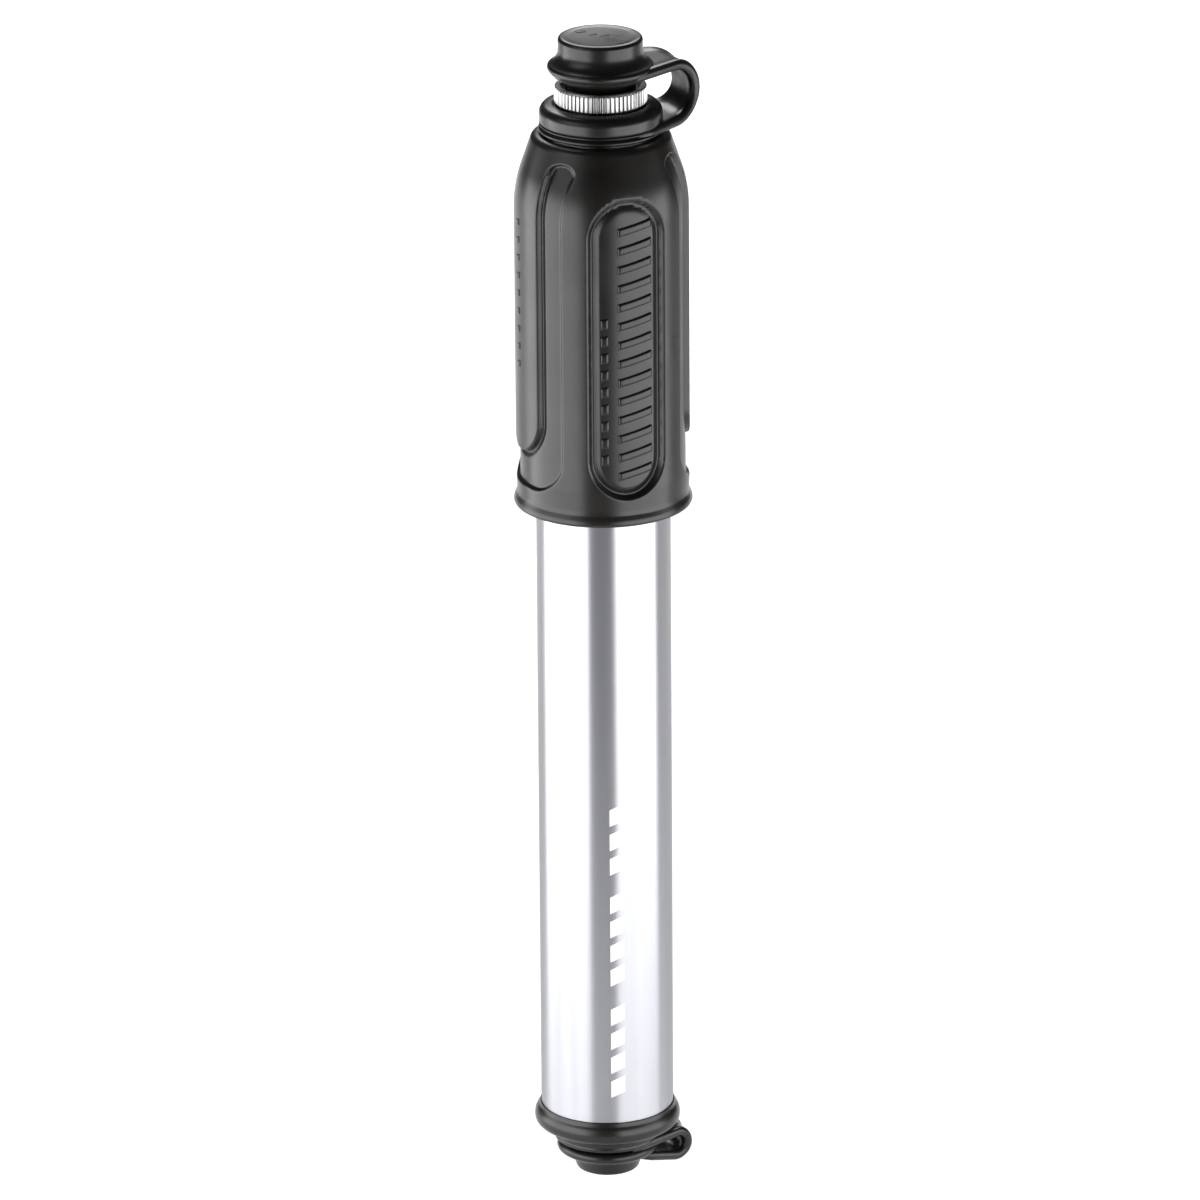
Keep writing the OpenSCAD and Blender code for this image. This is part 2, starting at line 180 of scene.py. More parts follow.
def pattern(nodes, links, kind, scale, stretch=(1, 1, 1), **values):
    """A noise, wave or other texture in the object's own coordinates, in metres."""
    place = nodes.new("ShaderNodeTexCoord")
    mapping = nodes.new("ShaderNodeMapping")
    mapping.inputs["Scale"].default_value = stretch
    texture = nodes.new(kind)
    texture.inputs["Scale"].default_value = scale
    for key, value in values.items():
        if key in texture.inputs:
            texture.inputs[key].default_value = value
        else:
            setattr(texture, key, value)
    links.new(place.outputs["Object"], mapping.inputs["Vector"])
    links.new(mapping.outputs["Vector"], texture.inputs["Vector"])
    return texture


def finish_of(name, dark, light, rough, bump, depth, blotch=400, grain=3000, metal=0.0, stretch=(1, 1, 1),
              rings=0.0, braid=0.0):
    """A material with uneven colour and roughness, and a fine surface in relief: a grain, rings left by turning,
    or the braid of a hose. The relief's depth is in millimetres."""
    material = bpy.data.materials.new(name)
    material.use_nodes = True
    nodes, links = material.node_tree.nodes, material.node_tree.links
    shader = nodes["Principled BSDF"]
    shader.inputs["Metallic"].default_value = metal

    clouds = pattern(nodes, links, "ShaderNodeTexNoise", blotch, stretch, Detail=4.0)
    colours = nodes.new("ShaderNodeValToRGB")
    colours.color_ramp.elements[0].position = 0.3
    colours.color_ramp.elements[0].color = (*dark, 1)
    colours.color_ramp.elements[1].position = 0.7
    colours.color_ramp.elements[1].color = (*light, 1)
    links.new(clouds.outputs["Fac"], colours.inputs["Fac"])
    links.new(colours.outputs["Color"], shader.inputs["Base Color"])

    smears = pattern(nodes, links, "ShaderNodeTexNoise", blotch * 0.6, stretch, Detail=3.0)
    spread = nodes.new("ShaderNodeMapRange")
    spread.inputs["From Min"].default_value = 0.3
    spread.inputs["From Max"].default_value = 0.7
    spread.inputs["To Min"].default_value = rough[0]
    spread.inputs["To Max"].default_value = rough[1]
    links.new(smears.outputs["Fac"], spread.inputs["Value"])
    links.new(spread.outputs["Result"], shader.inputs["Roughness"])

    relief = nodes.new("ShaderNodeBump")
    relief.inputs["Strength"].default_value = bump
    relief.inputs["Distance"].default_value = depth * MM
    if braid:
        height = pattern(nodes, links, "ShaderNodeTexWave", braid, bands_direction="Z", Distortion=1.5,
                         Detail=2.0)
    elif rings:
        height = pattern(nodes, links, "ShaderNodeTexWave", rings, bands_direction="Z", Distortion=0.4,
                         Detail=3.0)
    else:
        height = pattern(nodes, links, "ShaderNodeTexNoise", grain, stretch, Detail=5.0)
    links.new(height.outputs["Fac"], relief.inputs["Height"])
    links.new(relief.outputs["Normal"], shader.inputs["Normal"])
    return material


# How far the surface turns away where the painted edge shade starts and ends, and how bright it is there
EDGE_PAINTED_SHADE = {"From Min": 0.5, "From Max": 0.98, "To Min": 1, "To Max": 0.45}


def darken(nodes, links, shader, amount):
    """Puts the shader's base colour, times this amount, in its place."""
    colour = shader.inputs["Base Color"].links[0].from_socket
    shade = nodes.new("ShaderNodeVectorMath")
    shade.operation = "SCALE"
    links.new(colour, shade.inputs[0])
    links.new(amount, shade.inputs["Scale"])
    links.new(shade.outputs["Vector"], shader.inputs["Base Color"])


def drawn_along_axis_with_edge_shade(material, amount):
    """Polishing marks along the tube stretch what it mirrors up and down, and painted shade darkens its colour
    towards its edges.
    """
    nodes, links = material.node_tree.nodes, material.node_tree.links
    shader = nodes["Principled BSDF"]
    tangent = nodes.new("ShaderNodeTangent")
    tangent.direction_type = "RADIAL"
    tangent.axis = "Z"
    links.new(tangent.outputs["Tangent"], shader.inputs["Tangent"])
    shader.inputs["Anisotropic"].default_value = amount
    shader.inputs["Anisotropic Rotation"].default_value = 0.25
    facing = nodes.new("ShaderNodeLayerWeight")
    facing.inputs["Blend"].default_value = 0.5
    edge = nodes.new("ShaderNodeMapRange")
    edge.interpolation_type = "SMOOTHSTEP"
    for key, value in EDGE_PAINTED_SHADE.items():
        edge.inputs[key].default_value = value
    links.new(facing.outputs["Facing"], edge.inputs["Value"])
    # painted shade: the base colour is darkened where the surface turns away from the view
    darken(nodes, links, shader, edge.outputs["Result"])


def flute_painted_shade(material):
    """Painted shade in the knurl's flutes: dark where the surface lies outside the shank and below the lands."""
    nodes, links = material.node_tree.nodes, material.node_tree.links
    place = nodes.new("ShaderNodeTexCoord")
    flat = nodes.new("ShaderNodeVectorMath")
    flat.operation = "MULTIPLY"
    flat.inputs[1].default_value = (1, 1, 0)
    length = nodes.new("ShaderNodeVectorMath")
    length.operation = "LENGTH"
    links.new(place.outputs["Object"], flat.inputs[0])
    links.new(flat.outputs["Vector"], length.inputs[0])
    ramp = nodes.new("ShaderNodeMapRange")
    ramp.interpolation_type = "SMOOTHSTEP"
    ramp.inputs["From Min"].default_value = FLUTE_R * MM
    ramp.inputs["From Max"].default_value = LAND_R * MM
    ramp.inputs["To Min"].default_value = 0.05
    ramp.inputs["To Max"].default_value = 1
    links.new(length.outputs["Value"], ramp.inputs["Value"])
    shank = nodes.new("ShaderNodeMath")
    shank.operation = "LESS_THAN"
    shank.inputs[1].default_value = SHANK_R * MM
    links.new(length.outputs["Value"], shank.inputs[0])
    clear = nodes.new("ShaderNodeMath")
    clear.operation = "MAXIMUM"
    links.new(ramp.outputs["Result"], clear.inputs[0])
    links.new(shank.outputs["Value"], clear.inputs[1])
    # painted shade in the flutes and on the chamfers at the knurl's ends
    darken(nodes, links, nodes["Principled BSDF"], clear.outputs["Value"])


MATERIALS = {
    "polished_aluminium": finish_of(
        "polished_aluminium", (0.5, 0.505, 0.54), (0.53, 0.535, 0.565), (0.31, 0.36), blotch=900, grain=5000,
        bump=0.06, depth=0.004, metal=1.0, stretch=(1, 1, 0.02)),
    "machined_aluminium": finish_of(
        "machined_aluminium", (0.72, 0.73, 0.75), (0.8, 0.81, 0.83), (0.22, 0.34), bump=0.25, depth=0.01,
        metal=1.0, rings=2600),
    "bright_aluminium": finish_of(
        "bright_aluminium", (0.62, 0.625, 0.64), (0.7, 0.705, 0.715), (0.14, 0.22), bump=0.12, depth=0.006,
        metal=1.0, rings=3200),
    "knurled_aluminium": finish_of(
        "knurled_aluminium", (0.86, 0.865, 0.87), (0.9, 0.905, 0.91), (0.34, 0.42), bump=0.06, depth=0.004,
        metal=1.0, grain=5000),
    "black_anodised": finish_of(
        "black_anodised", (0.018, 0.018, 0.02), (0.03, 0.03, 0.033), (0.3, 0.42), bump=0.15, depth=0.008,
        metal=0.6, rings=2400),
    "red_anodised": finish_of(
        "red_anodised", (0.42, 0.01, 0.015), (0.55, 0.02, 0.025), (0.22, 0.32), bump=0.12, depth=0.006,
        metal=0.8, grain=6000),
    "brass": finish_of(
        "brass", (0.68, 0.47, 0.18), (0.78, 0.57, 0.26), (0.2, 0.34), bump=0.2, depth=0.008, metal=1.0,
        rings=2800),
    "spring_steel": finish_of(
        "spring_steel", (0.5, 0.5, 0.52), (0.62, 0.62, 0.64), (0.2, 0.32), bump=0.12, depth=0.004, metal=1.0,
        grain=9000),
    "bearing_steel": finish_of(
        "bearing_steel", (0.62, 0.62, 0.64), (0.7, 0.7, 0.72), (0.06, 0.12), bump=0.03, depth=0.002, metal=1.0,
        grain=9000),
    "grip_rubber": finish_of(
        "grip_rubber", (0.005, 0.0042, 0.0037), (0.008, 0.0068, 0.006), (0.27, 0.34), blotch=260, grain=9000,
        bump=0.35, depth=0.012),
    "cap_rubber": finish_of(
        "cap_rubber", (0.0045, 0.004, 0.0036), (0.0075, 0.0067, 0.0061), (0.27, 0.34), blotch=420, grain=11000,
        bump=0.3, depth=0.01),
    "seal_rubber": finish_of(
        "seal_rubber", (0.01, 0.01, 0.01), (0.018, 0.018, 0.018), (0.3, 0.45), blotch=900, grain=9000,
        bump=0.2, depth=0.006),
    "hose_rubber": finish_of(
        "hose_rubber", (0.012, 0.012, 0.013), (0.02, 0.02, 0.022), (0.38, 0.5), blotch=700, bump=0.5,
        depth=0.03, braid=900),
    "white_acetal": finish_of(
        "white_acetal", (0.78, 0.77, 0.73), (0.86, 0.85, 0.82), (0.3, 0.42), blotch=500, grain=5000,
        bump=0.1, depth=0.006),
    "barrel_print": finish_of(
        "barrel_print", (0.84, 0.84, 0.85), (0.92, 0.92, 0.93), (0.35, 0.5), blotch=1500, grain=6000,
        bump=0.15, depth=0.004),
}
# Painted shade towards the edges of the barrel tube and of the knurl
drawn_along_axis_with_edge_shade(MATERIALS["polished_aluminium"], 0.9)
drawn_along_axis_with_edge_shade(MATERIALS["knurled_aluminium"], 0.9)
# painted shade in the knurl's flutes
flute_painted_shade(MATERIALS["knurled_aluminium"])

# The CAD nodes take the material that is named like their slot, and the chuck takes the knurl's
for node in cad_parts.values():
    for holder in node.material_slots:
        name = holder.material.name.split(".")[0] if holder.material else ""
        if name in MATERIALS:
            holder.material = MATERIALS[name]
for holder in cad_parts["hose_chuck"].material_slots:
    holder.material = MATERIALS["knurled_aluminium"]


# ---------- Barrel ----------

turned("barrel_tube_polished", rounded([
    (BARREL_BORE, TUBE_Z0, 0.1), (BARREL_R, TUBE_Z0, 0.15), (BARREL_R, TUBE_Z1 - 0.4, 0.15),
    (BARREL_R - 0.4, TUBE_Z1, 0.1), (BARREL_BORE, TUBE_Z1, 0.1),
]), "polished_aluminium", "barrel", "barrel_tube", segments=256)


def slanted_patch(surface, u0, v0, width, height, slant, lift, sink, bevel, across=3, along=3):
    """Points and faces of a raised bar with bevelled edges on a curved surface, where surface(u, v, lift) gives
    a point. The bar is centred on (u0, v0), climbs by slant over its width and is rooted sink deep."""
    us = sorted([0, 0, bevel / width] + [i / across for i in range(1, across)] + [1 - bevel / width, 1, 1])
    vs = sorted([0, 0, bevel / height] + [i / along for i in range(1, along)] + [1 - bevel / height, 1, 1])
    verts, faces = [], []
    for j, v in enumerate(vs):
        for i, u in enumerate(us):
            outer = i in (0, len(us) - 1) or j in (0, len(vs) - 1)
            edge = i in (1, len(us) - 2) or j in (1, len(vs) - 2)
            h = -sink if outer else (lift - bevel * 0.8 if edge else lift)
            x = u0 + (u - 0.5) * width
            y = v0 + (v - 0.5) * height + slant * (u - 0.5)
            verts.append(surface(x, y, h))
    row = len(us)
    for j in range(len(vs) - 1):
        for i in range(row - 1):
            faces.append((row * j + i, row * j + i + 1, row * (j + 1) + i + 1, row * (j + 1) + i))
    last = row * (len(vs) - 1)
    rim = list(range(row)) + [row * j + row - 1 for j in range(1, len(vs))]
    rim += [last + i for i in range(row - 2, -1, -1)] + [row * j for j in range(len(vs) - 2, 0, -1)]
    centre = len(verts)
    verts.append(tuple(np.mean([verts[k] for k in rim], axis=0)))
    for a, b in zip(rim, rim[1:] + rim[:1]):
        faces.append((a, centre, b))
    return verts, faces


def join_patches(patches):
    """Many patches as the points and faces of one piece."""
    verts, faces = [], []
    for points, polygons in patches:
        start = len(verts)
        verts += points
        faces += [tuple(k + start for k in polygon) for polygon in polygons]
    return verts, faces


# Printed marks: groups of plain slanted blocks up the barrel, each given by its lowest block and its count
PRINT_MIDDLE = math.radians(-98.5)
PRINT_GROUPS = ((16.0, 4), (33.2, 4), (50.2, 3))
PRINT_PITCH = 3.7


def on_barrel(u, v, lift):
    a = PRINT_MIDDLE + u / BARREL_R
    r = BARREL_R + lift
    return (r * math.cos(a), r * math.sin(a), v)


blocks = []
for start, count in PRINT_GROUPS:
    for i in range(count):
        blocks.append(slanted_patch(on_barrel, 0, start + i * PRINT_PITCH, width=2.0, height=2.5, slant=0.9,
                                    lift=0.015, sink=0.05, bevel=0.01, across=5))
verts, faces = join_patches(blocks)
marks = new_piece("barrel_print_marks", verts, faces, "polished_aluminium", "barrel", sharp=60)
marks.data.materials[0] = MATERIALS["barrel_print"]      # white paint, which the record has no slot for


# ---------- Grip sleeve ----------

def grip_profile():
    """Outside of the sleeve from its open end to its top edge, as (radius, height)."""
    points = [(RIM_R - 0.3, GRIP_Z0), (RIM_R - 0.12, GRIP_Z0 + 0.05), (RIM_R, GRIP_Z0 + 0.3),
              (RIM_R, GRIP_Z0 + 0.5), (RIM_R - 0.1, GRIP_Z0 + 0.9), (GRIP_R - 0.08, GRIP_Z0 + 1.6),
              (GRIP_R - 0.13, GRIP_Z0 + 2.2), (GRIP_R, GRIP_Z0 + 5)]
    points += arc((GRIP_R - 18, GRIP_Z1 - 10.7), 18, 0, 19, 12)
    points += arc((GRIP_R - 3.57, GRIP_Z1 - 1.3), 1.3, 19, 90, 8)
    return points


# The thumb panels, and the channels that run round a tongue on either side of the grip. Widths are halves.
PANEL_W = 5.75
PANEL_LOW, PANEL_HIGH = GRIP_Z0 + 3.8, GRIP_Z1 - 6.7
PANEL_DEPTH, CUSHION_RISE = 1.1, 0.32
CHANNEL_W, TONGUE_W, CORNER = 8.7, 4.9, 5.0
ARM_W = (CHANNEL_W - TONGUE_W) / 2
CHANNEL_LOW, CHANNEL_HIGH = GRIP_Z0 + 3.8, GRIP_Z1 - 2.1
CHANNEL_DEPTH, CHANNEL_GROOVE = 0.6, 0.35
TONGUE_LOW = GRIP_Z0 + 13.9
WALL, TONGUE_WALL = 0.5, 0.4


def row_spacing(z):
    """Rows lie closer together where the panels and channels have their round ends."""
    fine = z < GRIP_Z0 + 20 or z > PANEL_HIGH - PANEL_W - 0.6
    return 0.17 if fine else 0.5


def resampled(points):
    """The same outline with points added along its longer stretches, row_spacing apart."""
    out = [points[0]]
    for (r0, z0), (r1, z1) in zip(points, points[1:]):
        length = math.hypot(r1 - r0, z1 - z0)
        if length > 6:
            z = z0
            while z1 - z > row_spacing(z) * 1.5:
                z += row_spacing(z)
                out.append((r0 + (r1 - r0) * (z - z0) / (z1 - z0), z))
            out.append((r1, z1))
            continue
        steps = round(length / row_spacing((z0 + z1) / 2)) if length > 0.5 else 1
        for k in range(1, steps + 1):
            out.append((r0 + (r1 - r0) * k / steps, z0 + (z1 - z0) * k / steps))
    return out


def box_distance(x, y, half_x, half_y, corner):
    """Signed distance to a rectangle with rounded corners, negative inside."""
    qx, qy = np.abs(x) - half_x + corner, np.abs(y) - half_y + corner
    return np.hypot(np.maximum(qx, 0), np.maximum(qy, 0)) + np.minimum(np.maximum(qx, qy), 0) - corner


def panel_distance(x, z):
    middle, half = (PANEL_LOW + PANEL_HIGH) / 2, (PANEL_HIGH - PANEL_LOW) / 2
    return box_distance(x, z - middle, PANEL_W, half, PANEL_W)


def smooth(t):
    """A step from 0 to 1 that starts and ends flat."""
    t = np.clip(t, 0, 1)
    return t * t * (3 - 2 * t)


def panel_depth(x, z):
    """A steep wall down to a groove, from which the panel's cushion rises."""
    inside = -panel_distance(x, z)
    return PANEL_DEPTH * smooth(inside / WALL) - CUSHION_RISE * smooth((inside - 0.55) / 1.2)


def channel_depth(y, z):
    """A frame round a tongue: a tall round-cornered box, open between its two round-topped arms, and deepest
    along the tongue."""
    arm_top = CHANNEL_HIGH - ARM_W
    above = arm_top + 20     # the box runs on past the arms, so that its upper corners don't count
    body = box_distance(y, z - (CHANNEL_LOW + above) / 2, CHANNEL_W, (above - CHANNEL_LOW) / 2, CORNER)
    arm = np.hypot(np.abs(y) - (CHANNEL_W - ARM_W), np.maximum(z - arm_top, 0)) - ARM_W
    body = np.where(z > arm_top, arm, body)
    tongue = np.hypot(y, np.minimum(z - TONGUE_LOW, 0)) - TONGUE_W
    wall = smooth(tongue / TONGUE_WALL)
    groove = wall - smooth((tongue - TONGUE_WALL) / 0.9)
    return smooth(-body / WALL) * (CHANNEL_DEPTH * wall + CHANNEL_GROOVE * groove)


def grip_sleeve(columns=448):
    """The sleeve with its hollows pressed into the outside, row by row, and its bore."""
    inner = [(7.55, GRIP_Z1), (7.47, 156.12), (7.47, 155.73), (8.63, 154.53), (SLEEVE_BORE, 148.05),
             (SLEEVE_BORE, 147.5), (SLEEVE_BORE, 103.05), (9.85, 103), (9.85, 102.0), (9.95, GRIP_Z0),
             (12.0, GRIP_Z0)]
    a = np.linspace(0, 2 * math.pi, columns, endpoint=False)
    rows = []
    for r, z in resampled(grip_profile()):
        x, y = r * np.cos(a), r * np.sin(a)
        radius = r - np.maximum(panel_depth(x, z), channel_depth(y, np.full_like(y, z)))
        rows.append(np.stack([radius * np.cos(a), radius * np.sin(a), np.full_like(a, z)], axis=1))
    for r, z in inner:
        rows.append(np.stack([r * np.cos(a), r * np.sin(a), np.full_like(a, z)], axis=1))
    verts = np.concatenate(rows).tolist()
    faces = []
    count = len(rows)
    for i in range(count):
        n = (i + 1) % count
        for k in range(columns):
            m = (k + 1) % columns
            faces.append((columns * i + k, columns * i + m, columns * n + m, columns * n + k))
    piece = new_piece("grip_sleeve_moulded", verts, faces, "grip_rubber", "handle", sharp=100)
    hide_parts("grip_sleeve")


grip_sleeve()


def grip_radius(z):
    """The outside of the grip at this height, away from its hollows."""
    profile = grip_profile()
    return float(np.interp(z, [p[1] for p in profile], [p[0] for p in profile]))


def in_panel(side):
    """Places a point on the floor of the front (-1) or back (1) thumb panel."""
    def place(u, v, lift):
        r = grip_radius(v) - float(panel_depth(u, v)) + lift
        return (-side * u, side * math.sqrt(r * r - u * u), v)
    return place


def on_tongue(side):
    """Places a point on the left (-1) or right (1) tongue."""
    def place(u, v, lift):
        r = grip_radius(v) + lift
        return (side * math.sqrt(r * r - u * u), side * u, v)
    return place


# Plain raised ribs and a line of small dashes in each thumb panel, and small dots down each tongue
ribs = []
for side in (-1, 1):
    for i in range(14):
        ribs.append(slanted_patch(in_panel(side), 1.1, PANEL_HIGH - 4.2 - i * 2.75, width=5.0, height=1.15,
                                  slant=1.0, lift=0.3, sink=0.2, bevel=0.16, across=12))
    for i in range(9):
        ribs.append(slanted_patch(in_panel(side), -3.3, PANEL_HIGH - 18 - i * 2.5, width=1.0, height=1.5,
                                  slant=0.2, lift=0.22, sink=0.2, bevel=0.12))
for side in (-1, 1):
    for i in range(9):
        ribs.append(slanted_patch(on_tongue(side), 0, GRIP_Z1 - 12 - i * 2.6, width=0.9, height=0.9,
                                  slant=0.2, lift=0.13, sink=0.15, bevel=0.08))
verts, faces = join_patches(ribs)
new_piece("grip_raised_ribs", verts, faces, "grip_rubber", "handle", sharp=60)


# ---------- Rubber caps ----------

def raised_to(z, points):
    """Points of (radius, height) with their heights counted from z."""
    return [(r, z + height) for r, height in points]


# A lip, a low band between two fine grooves, a dome and a short inner rim
turned("top_cap_collar_moulded", raised_to(
    heights("top_cap_collar")[0],
    [(7.5, 0), (8.1, 0), (8.35, 0.03)]
    + arc((8.42, 0.37), 0.34, -75, 65, 10)
    + [(8.48, 0.76), (8.4, 0.83), (8.48, 0.9), (8.6, 1.0), (8.62, 1.12), (8.56, 1.22), (8.45, 1.29),
       (8.54, 1.37), (8.59, 1.52), (8.62, 1.8)]
    + arc((7.3, 2.6), 1.35, -12, 80, 18)
    + [(7.2, 4.0), (6.9, 4.04), (6.72, 4.01), (6.64, 3.9), (6.64, 3.6), (6.75, 3.4), (6.75, 3.15), (7.5, 3.15)]
), "cap_rubber", "top_cap", "top_cap_collar", sharp=55)

# A stopper under a flange with a rounded edge, and a hollow-sided head with a dished top
PLUG_DISH = 0.12
turned("top_cap_plug_moulded", raised_to(
    PUMP_LEN,
    [(0, -4), (3.3, -4), (3.4, -4.1), (3.4, -8.2), (3.5, -8.3), (4.5, -8.3), (4.75, -8.2), (4.9, -8), (5, -6.1),
     (5.1, -6), (5.8, -6)]
    + arc((5.9, -5.72), 0.28, -90, -45, 4)
    + [(6.6, -5.6), (6.98, -5.22)]
    + arc((6.85, -4.4), 0.6, -50, 60, 12)
    + arc((8.35, -1.8), 2.4, 240, 180, 16)
    + arc((5.35, -0.6), 0.6, 0, 90, 8)
    + [(5.0, -0.02), (4.6, -0.1), (4.3, -PLUG_DISH), (0, -PLUG_DISH)]
), "cap_rubber", "top_plug", "top_cap_plug", sharp=55)


def on_plug_top(u, v, lift):
    return (u, v, PUMP_LEN - PLUG_DISH + lift)


# A small raised block and two dashes
verts, faces = join_patches([
    slanted_patch(on_plug_top, -1.9, 3.0, width=1.3, height=0.8, slant=0.1, lift=0.1, sink=0.1, bevel=0.05),
    slanted_patch(on_plug_top, -0.7, 1.1, width=1.2, height=0.35, slant=0.3, lift=0.08, sink=0.1, bevel=0.04),
    slanted_patch(on_plug_top, 0.7, 0.2, width=1.4, height=0.35, slant=0.3, lift=0.08, sink=0.1, bevel=0.04),
])
new_piece("top_plug_marks", verts, faces, "cap_rubber", "top_plug", sharp=60)

# A step with a fine groove, and a wide bead that holds the barrel's end
turned("bottom_cap_collar_moulded",
       [(4.6, 4.8), (7.2, 4.8)]
       + arc((7.35, 5.2), 0.4, -90, 0, 6)
       + [(7.75, 5.42), (7.66, 5.5), (7.66, 5.58), (7.75, 5.66)]
       + arc((8.25, 5.85), 0.5, 175, 120, 6)
       + arc((9.4, 8.1), 1.05, -75, 0, 12)
       + arc((8.45, 8.3), 2, 0, 42, 12)
       + [(9.7, 9.95), (9.69, 10.25), (9.64, 10.36), (9.56, 10.38), (9.52, 10.3), (9.52, 7.85), (7.95, 6.65),
          (4.6, 6.65), (4.5, 6.55), (4.5, 4.9)],
       "cap_rubber", "barrel", "bottom_cap_collar", sharp=55)

# A foot that widens into a round-edged flange, and a hollow stopper above it
turned("bottom_cap_plug_moulded",
       [(0, 0.08), (3.4, 0.08), (3.6, 0.02), (3.8, 0)]
       + arc((4.1, 0.5), 0.5, -90, 0, 8)
       + arc((6.75, 0.9), 2, 180, 115, 10)
       + arc((6.6, 3.45), 0.7, -60, 60, 10)
       + [(6.85, 4.16), (6.6, 4.2), (3.7, 4.2), (3.6, 4.3), (3.6, 5.6), (3.3, 5.9), (2.5, 5.9), (2.4, 5.8),
          (2.4, 3.5), (2.3, 3.4), (0, 3.4)],
       "cap_rubber", "bottom_plug", "bottom_cap_plug", sharp=55)


def strap_line(centre, bend, rise, low_end, high_end):
    """The middle of a strap seen from the side: low leg from low_end, bend, and high leg to high_end."""
    foot = Vector(centre) + bend * Vector((-math.sin(rise), -math.cos(rise)))
    away = Vector((-math.cos(rise), math.sin(rise)))
    length = (foot.x - low_end) / math.cos(rise)
    line = [tuple(foot + away * (length * (1 - k / 24))) for k in range(24)]
    line += arc(centre, bend, -90 - math.degrees(rise), 90, 44)
    return line + [(centre[0] + (high_end - centre[0]) * k / 20, centre[1] + bend) for k in range(1, 21)]


def strap_half_width(u, reach, width, root):
    """Half the strap's width at u, where it widens from its bend at reach towards a root. Past the place where
    it meets the round body there, its edge follows that body and sinks into it."""
    softness = 0.6
    spread = reach - max(u, root["meets"])
    widening = (spread + math.sqrt(spread * spread + softness) - math.sqrt(softness)) / 2
    half = width / 2 + root["flare"] * widening
    if u >= root["meets"]:
        return half
    body_r = math.hypot(root["meets"], half) - root["sink"] * (root["meets"] - u)
    return math.sqrt(body_r ** 2 - u ** 2)


def strap_section(half_w, half_t, web=0.27):
    """A flat section with round edges, thinner by web on both faces between the beads along its edges."""
    section = []
    for s, start in ((1, -1), (-1, 1)):
        for k in range(9):
            v = start * (half_w - half_t) * (1 - k / 4)
            inside = half_w - half_t - abs(v)
            section.append((v, s * (half_t - web * float(smooth((inside - 0.35) / 0.7)))))
        for k in range(1, 6):
            a = math.radians(90 - 30 * k)
            section.append((-start * (half_w - half_t + half_t * math.cos(a)), s * half_t * math.sin(a)))
    return section


def strap(name, node, centre, bend, thick, width, low, high, rise=0, turn=0):
    """A rubber strap that loops from its low root to its high one. The low leg rises towards its root, and the
    whole strap is turned about the pump's axis."""
    line = strap_line(centre, bend, rise, low["end"], high["end"])
    sections = []
    for i, (u, height) in enumerate(line):
        before, after = line[max(i - 1, 0)], line[min(i + 1, len(line) - 1)]
        tangent = Vector((after[0] - before[0], after[1] - before[1])).normalized()
        normal = Vector((tangent.y, -tangent.x))
        half_w = strap_half_width(u, centre[0] + bend, width, low if i < len(line) / 2 else high)
        points = []
        for v, n in strap_section(half_w, thick / 2):
            out = u + normal.x * n
            points.append((out * math.cos(turn) - v * math.sin(turn), out * math.sin(turn) + v * math.cos(turn),
                           height + normal.y * n))
        sections.append(points)
    piece = swept(name, sections, "cap_rubber", None, sharp=60)
    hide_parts(node)
    return piece


top_strap = strap("top_cap_strap_moulded", "top_cap_strap", (9.6, PUMP_LEN - 8.8), 4, thick=1.6, width=6.4,
                  low={"flare": 0.5, "meets": 4.2, "sink": 0.12, "end": 1.5},
                  high={"flare": 0.345, "meets": 2.5, "sink": 0.3, "end": 1.0}, turn=TOP_TURN)
bottom_strap = strap("bottom_cap_strap_moulded", "bottom_cap_strap", (9.5, 3.05), 1.85, thick=1.4, width=6,
                     low={"flare": 0.3, "meets": 5.5, "sink": 0.75, "end": 2.4},
                     high={"flare": 0.51, "meets": 3.47, "sink": 0.15, "end": 1.5}, rise=math.radians(13))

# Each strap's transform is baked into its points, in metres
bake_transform(top_strap)
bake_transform(bottom_strap)


# ---------- Threads, ferrules and springs ----------

def coil(name, radius, wire, height, turns, place, sides=10, steps=36):
    """A spring: a wire wound round a helix that stands on the origin, then put in its place."""
    count = turns * steps
    sections = []
    for i in range(count + 1):
        share = i / count
        a = 2 * math.pi * turns * share
        rise = wire + (height - 2 * wire) * share
        ring = []
        for j in range(sides):
            b = 2 * math.pi * j / sides
            r = radius + wire * math.cos(b)
            ring.append(tuple(place @ Vector((r * math.cos(a), r * math.sin(a), rise + wire * math.sin(b)))))
        sections.append(ring)
    return swept(name, sections, "spring_steel", None, sharp=60)


def thread(name, radius, crest, pitch, z0, z1, slot, body, steps=48):
    """A ridge wound round a bore or a stem that fades out at both ends."""
    count = int((z1 - z0) / pitch * steps)
    run_out = steps * 0.4
    sections = []
    for i in range(count + 1):
        a = 2 * math.pi * i / steps
        middle = z0 + pitch * i / steps
        fade = min(1, i / run_out, (count - i) / run_out)
        tip = radius + (crest - radius) * max(fade, 0.02)
        base = radius - (crest - radius) * 0.3
        ridge = [(base, -0.42 * pitch), (tip, -0.08 * pitch), (tip, 0.08 * pitch), (base, 0.42 * pitch)]
        sections.append([(r * math.cos(a), r * math.sin(a), middle + dz) for r, dz in ridge])
    return swept(name, sections, slot, body, sharp=30)


thread("chuck_thread", 3.9, 3.62, 0.8, 157.9, 160.9, "bright_aluminium", "hose")
thread("port_thread", 3.5, 3.25, 0.8, 6.7, 9.9, "machined_aluminium", "barrel")
thread("fitting_thread", 3.42, 3.68, 0.8, 27.4, 30.8, "machined_aluminium", "hose")


